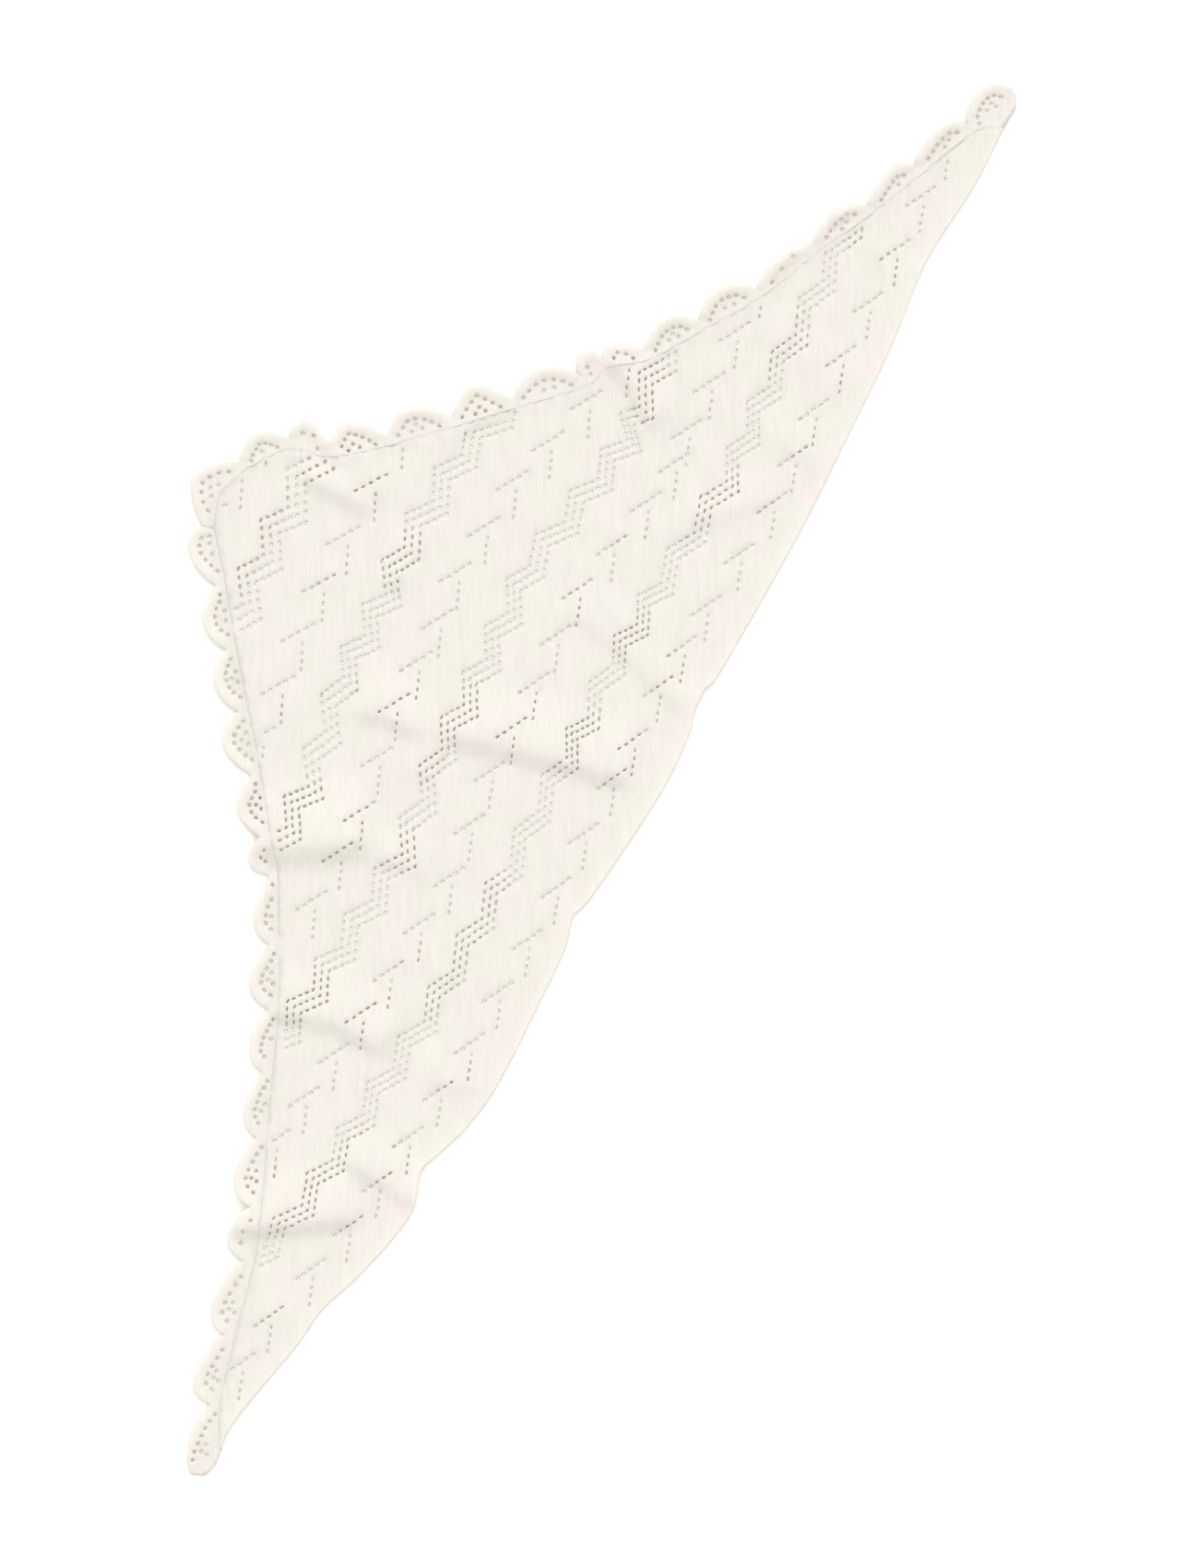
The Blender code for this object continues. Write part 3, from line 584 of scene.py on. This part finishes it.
def shell(name, outline, eyelets, inner, lift_of, relief_of, materials, seam_tree):
    """A closed thin sheet: its outline less its eyelets, two faces and the walls between."""
    rings = [corner for e in eyelets for corner in oval(e, LIP)]
    _, gaps = nearest(tree_of([c for e in eyelets for c in oval(e, 0.0)]), rings)
    rings = [ring for ring, gap in zip(rings, gaps) if gap > RING_SHARE * LIP]
    points = [tuple(p) for p in outline]
    faces = [list(range(len(points)))]
    for eyelet in eyelets:
        faces.append(list(range(len(points), len(points) + EYELET_SIDES)))
        points += oval(eyelet, 0.0)
    first_ring = len(points)
    points += rings + [tuple(p) for p in inner]
    placed, _, triangles, origins, _, owners = delaunay_2d_cdt(
        [Vector(p) for p in points], [], faces, 0, MERGE_DISTANCE, True)
    cloth = np.array([tri for tri, owner in zip(triangles, owners) if list(owner) == [0]])
    used, corners = np.unique(cloth, return_inverse=True)
    cloth = corners.reshape(cloth.shape)
    flat = np.array([placed[k][:] for k in used])
    first = np.array([origins[k][0] if origins[k] else -1 for k in used])
    at_eyelet = (first >= len(outline)) & (first < first_ring)
    at_ring = (first >= first_ring) & (first < first_ring + len(rings))
    way = np.vstack([cloth[:, [0, 1]], cloth[:, [1, 2]], cloth[:, [2, 0]]])
    _, index, uses = np.unique(np.sort(way, axis=1), axis=0, return_index=True,
                               return_counts=True)
    border = way[index[uses == 1]]
    low = flat.copy()
    owner = (first[at_eyelet] - len(outline)) // EYELET_SIDES
    middles = np.array([(e.x, e.y) for e in eyelets])[owner]
    low[at_eyelet] = middles + (flat[at_eyelet] - middles) * EYELET_TAPER
    lift = lift_of(flat)
    relief = relief_of(flat) + LIP_RISE * at_ring - LIP_DROP * at_eyelet
    count = len(flat)
    vertices = np.vstack([np.column_stack([flat, WALL + lift + relief]),
                          np.column_stack([low, lift])])
    walls = np.column_stack([border[:, 1], border[:, 0], border[:, 0] + count,
                             border[:, 1] + count])
    mesh = bpy.data.meshes.new(name)
    mesh.from_pydata(((vertices + np.array(SHIFT)) * MM).tolist(), [],
                     cloth.tolist() + (cloth[:, ::-1] + count).tolist() + walls.tolist())
    mesh.update()
    mesh.shade_smooth()
    # The walls inside the eyelets take the second material, which paints shade on them
    in_eyelet = at_eyelet[border].all(axis=1)
    slots = np.concatenate([np.zeros(2 * len(cloth), int), in_eyelet.astype(int)])
    mesh.polygons.foreach_set("material_index", slots)
    _, from_seam = nearest(seam_tree, flat)
    on_seam = np.concatenate([from_seam < ON_SEAM, np.zeros(count, bool)])
    ends = np.array([edge.vertices[:] for edge in mesh.edges])
    sharp = mesh.attributes.new("sharp_edge", "BOOLEAN", "EDGE")
    sharp.data.foreach_set("value", on_seam[ends].all(axis=1))
    obj = bpy.data.objects.new(name, mesh)
    bpy.context.scene.collection.objects.link(obj)
    for material in materials:
        mesh.materials.append(material)
    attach(obj, "root")
    return obj


def ridge(distance, centre, width):
    """A soft bump at some distance from a line."""
    return np.exp(-((distance - centre) / width) ** 2)


def make_panel(materials, rng):
    """The triangle of knit, with its bands and motifs of eyelets."""
    outline, hem, seam = panel_outline()
    eyelets = []
    for name, band in BANDS.items():
        if band.zigzag:
            eyelets += zigzag(name, rng)
        eyelets += motifs(name, rng)
    eyelets = clear_eyelets(eyelets, outline, PANEL_EYELET_SPACE, PANEL_MARGIN)
    seam_tree = tree_of(resampled(seam, 1.0))
    hem_tree = tree_of(resampled(hem, 1.0))
    lace_tree = tree_of(np.vstack([band_line(name) for name in BANDS if BANDS[name].zigzag]))
    dash_tree = tree_of(dash_lines())

    def lift_of(points):
        _, from_hem = nearest(hem_tree, points)
        curl = np.clip(1 - from_hem / HEM_CURL_WIDTH, 0.0, 1.0) ** 2
        return cloth_lift(points) + HEM_CURL * curl

    def relief(points):
        _, from_seam = nearest(seam_tree, points)
        _, from_lace = nearest(lace_tree, points)
        _, from_dash = nearest(dash_tree, points)
        sink = (LACE_SINK * ridge(from_lace, 0.0, LACE_SINK_WIDTH)
                + DASH_SINK * ridge(from_dash, 0.0, DASH_SINK_WIDTH))
        return SEAM_RIDGE * ridge(from_seam, 0.0, SEAM_RIDGE_WIDTH) - np.minimum(sink, 1.0)

    inner = np.vstack([grid(outline, eyelets, PANEL_GRID),
                       edge_row(hem, EDGE_ROUND, outline, eyelets)])
    piece = shell("shawl_panel", outline, eyelets, inner, lift_of, relief, materials,
                  seam_tree)
    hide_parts("main_panel")
    return piece


def make_edging(name, node, scallops, last, inner_side, beside, materials, rng):
    """A strip of scallops, sewn on under the panel's edge."""
    rim, curls = rim_of(scallops, last)
    outline = np.vstack([inner_side, rim[::-1]])
    eyelets = []
    for scallop, end in zip(scallops, scallop_ends(scallops, last)):
        eyelets += lace_figure(scallop, end, rng)
    eyelets = clear_eyelets(eyelets, outline, EYELET_SPACE - EYELET_EASE, EYELET_MARGIN)
    rim_tree = tree_of(rim)
    seam_tree = tree_of(resampled(inner_side, 1.0))

    def lift_of(points):
        index, distance = nearest(rim_tree, points)
        share = np.clip((RIM_FOOT - distance) / (RIM_FOOT - RIM_FLAT), 0.0, 1.0)
        return cloth_lift(points) + curls[index] * share * share * (3 - 2 * share)

    def relief(points):
        _, from_rim = nearest(rim_tree, points)
        _, from_seam = nearest(seam_tree, points)
        relief = (RIM_PUFF * ridge(from_rim, RIM_PUFF_IN, RIM_PUFF_WIDTH)
                  + SEAM_RIDGE * ridge(from_seam, TUCK, SEAM_RIDGE_WIDTH))
        return relief - TUCK_DROP * (from_seam < ON_SEAM)

    inner = grid(outline, eyelets, EDGING_GRID)
    _, gap = nearest(seam_tree, inner)
    inner = inner[gap > TUCK + SEAM_CLEAR]
    inner = np.vstack([inner, beside[inside(beside, outline)],
                       edge_row(rim[::-1], EDGE_ROUND, outline, eyelets)])
    piece = shell(name, outline, eyelets, inner, lift_of, relief, materials, seam_tree)
    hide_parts(node)
    return piece


def make_edgings(materials, rng):
    """The left and the right edging, which meet at the foot of the point's scallop."""
    left, peak, right = seam_points(SEAM_INSET + TUCK)
    over_left, over_peak, over_right = seam_points(SEAM_INSET - SEAM_EASE)
    meeting = RIGHT_SCALLOPS[0]
    left_last = (meeting.cusp_x - JOIN_GAP, meeting.cusp_y)
    left_seam = smooth_curve(left[:-1] + [left[-1] - (JOIN_GAP, 0)], SEAM_STEPS)
    left_side = np.vstack([np.array(LONG_EDGE[:LEFT_SEAM_EDGE]), left_seam])
    beside = resampled(smooth_curve(over_left, SEAM_STEPS), SEAM_ROW)
    make_edging("shawl_left_edging", "left_edging", LEFT_SCALLOPS, left_last, left_side,
                beside[1:-2], materials, rng)
    right_side = np.vstack([[left[-1], peak], smooth_curve(right, SEAM_STEPS),
                            np.array(LONG_EDGE[RIGHT_SEAM_EDGE + 1:])])
    beside = resampled(np.vstack([[over_left[-1], over_peak],
                                  smooth_curve(over_right, SEAM_STEPS)]), SEAM_ROW)
    make_edging("shawl_right_edging", "right_edging", RIGHT_SCALLOPS, RIGHT_TIP, right_side,
                beside[2:-1], materials, rng)


# The finish of the knit, with its painted shade, in millimetres where it is a size
WALE, COURSE = 1.7, 1.35                   # a stitch across and along
STITCH_SLANT = 1.3                         # how far a V stitch slants, in courses
LOOP_SHARE, STITCH_RELIEF, STREAK_RELIEF, FUZZ_RELIEF = 0.45, 0.5, 1.6, 0.6
STREAK_STRETCH = (0.42, 0.035, 0.2)
STREAK_DETAIL = 4.0
FUZZ_SCALE, FUZZ_DETAIL = 1.6, 5.0
BUMP_STRENGTH, BUMP_DEPTH = 0.35, 0.0004
# Painted shade: the yarn darkens towards YARN_SHADED where the stitch grooves and the streaks lie
# low; the streaks also vary its tone at random
STREAK_SHADE, STITCH_SHADE, SHADE_START = 0.75, 0.06, 0.12
SHADE_FROM, SHADE_TO = 0.30, 0.62
YARN, YARN_SHADED = (0.93, 0.907, 0.87, 1), (0.875, 0.848, 0.795, 1)
TINT_SCALE, TINT_FROM, TINT_TO = 14.0, 0.38, 0.62
PINKISH, YELLOWISH = (1.0, 0.988, 0.99, 1), (0.995, 1.0, 0.972, 1)
ROUGHNESS, SPECULAR, SHEEN, SHEEN_ROUGHNESS = 0.95, 0.15, 0.25, 0.6
LIGHT_THROUGH = 0.3                        # the share of the light that passes through the knit
# Painted shade: the darker colours of the eyelets' inner walls, with a fine noise between them
EYELET_PAINTED_SHADE_DARK, EYELET_PAINTED_SHADE_LIGHT = (0.67, 0.65, 0.57, 1), (0.85, 0.825, 0.74, 1)
EYELET_NOISE = 900.0

FLOOR_HALF, FLOOR_DROP = 6.0, 0.0002       # metres
FLOOR_COLOUR = (0.97, 0.96, 0.92, 1)
WORLD_STRENGTH = 0.955
KEY_ENERGY, KEY_SPREAD = 1.4, math.radians(50)
KEY_FROM = (0.86, 0.51, 0.9)
CLIP_END = 50
DIFFUSE_BOUNCES, MAX_BOUNCES = 10, 16      # enough for the hollows under the folds
SEED = 5


class Nodes:
    """A short way to add and link shader nodes."""

    def __init__(self, name):
        self.material = bpy.data.materials.new(name)
        self.material.use_nodes = True
        self.tree = self.material.node_tree
        self.shader = self.tree.nodes["Principled BSDF"]

    def add(self, kind, **values):
        node = self.tree.nodes.new(kind)
        for key, value in values.items():
            setattr(node, key, value)
        return node

    def link(self, source, target):
        self.tree.links.new(source, target)

    def math(self, operation, a, b=None):
        node = self.add("ShaderNodeMath", operation=operation)
        for socket, value in zip(node.inputs, (a, b)):
            if value is None:
                continue
            if isinstance(value, (int, float)):
                socket.default_value = value
            else:
                self.link(value, socket)
        return node.outputs[0]


def knit_material(name):
    """Fine knit: columns of small V stitches, uneven along the columns, softly fuzzy."""
    nodes = Nodes(name)
    coords = nodes.add("ShaderNodeTexCoord")
    turn = nodes.add("ShaderNodeMapping")
    turn.inputs["Rotation"].default_value = (0, 0, math.pi / 2 - WALE_ANGLE)
    turn.inputs["Scale"].default_value = (1000, 1000, 1000)
    nodes.link(coords.outputs["Object"], turn.inputs["Vector"])
    split = nodes.add("ShaderNodeSeparateXYZ")
    nodes.link(turn.outputs[0], split.inputs[0])
    across = nodes.math("DIVIDE", split.outputs["X"], WALE)
    centred = nodes.math("ABSOLUTE", nodes.math("SUBTRACT", nodes.math("FRACT", across), 0.5))
    along = nodes.math("DIVIDE", split.outputs["Y"], COURSE)
    slanted = nodes.math("ADD", along, nodes.math("MULTIPLY", centred, STITCH_SLANT))
    loops = nodes.math("SINE", nodes.math("MULTIPLY", slanted, 2 * math.pi))
    rib = nodes.math("SINE", nodes.math("MULTIPLY", centred, 2 * math.pi))
    stitch = nodes.math("ADD", nodes.math("MULTIPLY", loops, LOOP_SHARE), rib)

    streaks = nodes.add("ShaderNodeTexNoise")
    stretch = nodes.add("ShaderNodeMapping")
    stretch.inputs["Scale"].default_value = STREAK_STRETCH
    nodes.link(turn.outputs[0], stretch.inputs["Vector"])
    nodes.link(stretch.outputs[0], streaks.inputs["Vector"])
    streaks.inputs["Scale"].default_value = 1.0
    streaks.inputs["Detail"].default_value = STREAK_DETAIL

    fuzz = nodes.add("ShaderNodeTexNoise")
    nodes.link(turn.outputs[0], fuzz.inputs["Vector"])
    fuzz.inputs["Scale"].default_value = FUZZ_SCALE
    fuzz.inputs["Detail"].default_value = FUZZ_DETAIL

    height = nodes.math("ADD", nodes.math("MULTIPLY", stitch, STITCH_RELIEF),
                        nodes.math("MULTIPLY", streaks.outputs["Fac"], STREAK_RELIEF))
    height = nodes.math("ADD", height, nodes.math("MULTIPLY", fuzz.outputs["Fac"], FUZZ_RELIEF))
    bump = nodes.add("ShaderNodeBump")
    bump.inputs["Strength"].default_value = BUMP_STRENGTH
    bump.inputs["Distance"].default_value = BUMP_DEPTH
    nodes.link(height, bump.inputs["Height"])
    nodes.link(bump.outputs[0], nodes.shader.inputs["Normal"])

    # Painted shade: the colour follows the stitch and streak heights of the bump, darker where
    # they are low, beside the streaks' random tone
    ramp = nodes.add("ShaderNodeValToRGB")
    ramp.color_ramp.elements[0].position = SHADE_FROM
    ramp.color_ramp.elements[0].color = YARN_SHADED
    ramp.color_ramp.elements[1].position = SHADE_TO
    ramp.color_ramp.elements[1].color = YARN
    shade = nodes.math("ADD", nodes.math("MULTIPLY", streaks.outputs["Fac"], STREAK_SHADE),
                       nodes.math("MULTIPLY", stitch, STITCH_SHADE))
    nodes.link(nodes.math("ADD", shade, SHADE_START), ramp.inputs["Fac"])
    slow = nodes.add("ShaderNodeTexNoise")
    nodes.link(coords.outputs["Object"], slow.inputs["Vector"])
    slow.inputs["Scale"].default_value = TINT_SCALE
    tints = nodes.add("ShaderNodeValToRGB")
    tints.color_ramp.elements[0].position = TINT_FROM
    tints.color_ramp.elements[0].color = PINKISH
    tints.color_ramp.elements[1].position = TINT_TO
    tints.color_ramp.elements[1].color = YELLOWISH
    nodes.link(slow.outputs["Fac"], tints.inputs["Fac"])
    tinted = nodes.add("ShaderNodeMix", data_type="RGBA", blend_type="MULTIPLY")
    tinted.inputs["Factor"].default_value = 1.0
    nodes.link(ramp.outputs["Color"], tinted.inputs["A"])
    nodes.link(tints.outputs["Color"], tinted.inputs["B"])
    cloth_colour = tinted.outputs["Result"]
    nodes.link(cloth_colour, nodes.shader.inputs["Base Color"])
    nodes.shader.inputs["Roughness"].default_value = ROUGHNESS
    nodes.shader.inputs["Specular IOR Level"].default_value = SPECULAR
    nodes.shader.inputs["Sheen Weight"].default_value = SHEEN
    nodes.shader.inputs["Sheen Roughness"].default_value = SHEEN_ROUGHNESS
    through = nodes.add("ShaderNodeBsdfTranslucent")
    nodes.link(cloth_colour, through.inputs["Color"])
    nodes.link(bump.outputs[0], through.inputs["Normal"])
    mix = nodes.add("ShaderNodeMixShader")
    mix.inputs["Fac"].default_value = LIGHT_THROUGH
    nodes.link(nodes.shader.outputs[0], mix.inputs[1])
    nodes.link(through.outputs[0], mix.inputs[2])
    nodes.link(mix.outputs[0], nodes.tree.nodes["Material Output"].inputs["Surface"])
    return nodes.material


def shade_material():
    """Painted shade for the yarn inside an eyelet: a darker colour standing in for the shade its
    neighbours cast there.
    """
    nodes = Nodes("eyelet_painted_shade")
    coords = nodes.add("ShaderNodeTexCoord")
    noise = nodes.add("ShaderNodeTexNoise")
    noise.inputs["Scale"].default_value = EYELET_NOISE
    nodes.link(coords.outputs["Object"], noise.inputs["Vector"])
    ramp = nodes.add("ShaderNodeValToRGB")
    ramp.color_ramp.elements[0].color = EYELET_PAINTED_SHADE_DARK
    ramp.color_ramp.elements[1].color = EYELET_PAINTED_SHADE_LIGHT
    nodes.link(noise.outputs["Fac"], ramp.inputs["Fac"])
    nodes.link(ramp.outputs["Color"], nodes.shader.inputs["Base Color"])
    nodes.shader.inputs["Roughness"].default_value = 1.0
    nodes.shader.inputs["Specular IOR Level"].default_value = 0.0
    return nodes.material


def make_stage():
    """The pale floor that the shawl lies on."""
    floor_mesh = bpy.data.meshes.new("floor")
    corners = [(-1, -1), (1, -1), (1, 1), (-1, 1)]
    floor_mesh.from_pydata([(x * FLOOR_HALF, y * FLOOR_HALF, 0) for x, y in corners],
                           [], [(0, 1, 2, 3)])
    floor = bpy.data.objects.new("floor", floor_mesh)
    floor.location.z = -FLOOR_DROP
    bpy.context.scene.collection.objects.link(floor)
    nodes = Nodes("floor")
    nodes.shader.inputs["Base Color"].default_value = FLOOR_COLOUR
    nodes.shader.inputs["Roughness"].default_value = 1.0
    nodes.shader.inputs["Specular IOR Level"].default_value = 0.0
    floor_mesh.materials.append(nodes.material)


def make_light():
    """A white studio all round, and one broad key light from the photo's top."""
    world = bpy.data.worlds.new("studio")
    bpy.context.scene.world = world
    world.use_nodes = True
    background = world.node_tree.nodes["Background"]
    background.inputs["Color"].default_value = (1.0, 1.0, 1.0, 1)
    background.inputs["Strength"].default_value = WORLD_STRENGTH
    data = bpy.data.lights.new("key", "SUN")
    data.energy = KEY_ENERGY
    data.angle = KEY_SPREAD
    key = bpy.data.objects.new("key", data)
    key.rotation_euler = Vector(KEY_FROM).to_track_quat("Z", "Y").to_euler()
    bpy.context.scene.collection.objects.link(key)


def make_camera():
    """Straight above, turned so that the long edge slants as in the photo."""
    data = bpy.data.cameras.new("camera")
    data.sensor_fit = "VERTICAL"
    data.sensor_height = SENSOR
    data.lens = LENS
    camera = bpy.data.objects.new("camera", data)
    away = VIEW_HEIGHT * MM * LENS / SENSOR
    camera.location = ((VIEW_CENTRE[0] + SHIFT.x) * MM, (VIEW_CENTRE[1] + SHIFT.y) * MM, away)
    camera.rotation_euler = (0, 0, CAMERA_ROLL)
    data.clip_end = CLIP_END
    bpy.context.scene.collection.objects.link(camera)
    bpy.context.scene.camera = camera


bpy.context.scene.view_settings.view_transform = "Standard"
bpy.context.scene.cycles.diffuse_bounces = DIFFUSE_BOUNCES
bpy.context.scene.cycles.max_bounces = MAX_BOUNCES
make_camera()
make_stage()
make_light()
rng = np.random.default_rng(SEED)
shade = shade_material()
make_panel((knit_material("panel_knit"), shade), rng)
make_edgings((knit_material("edging_knit"), shade), rng)
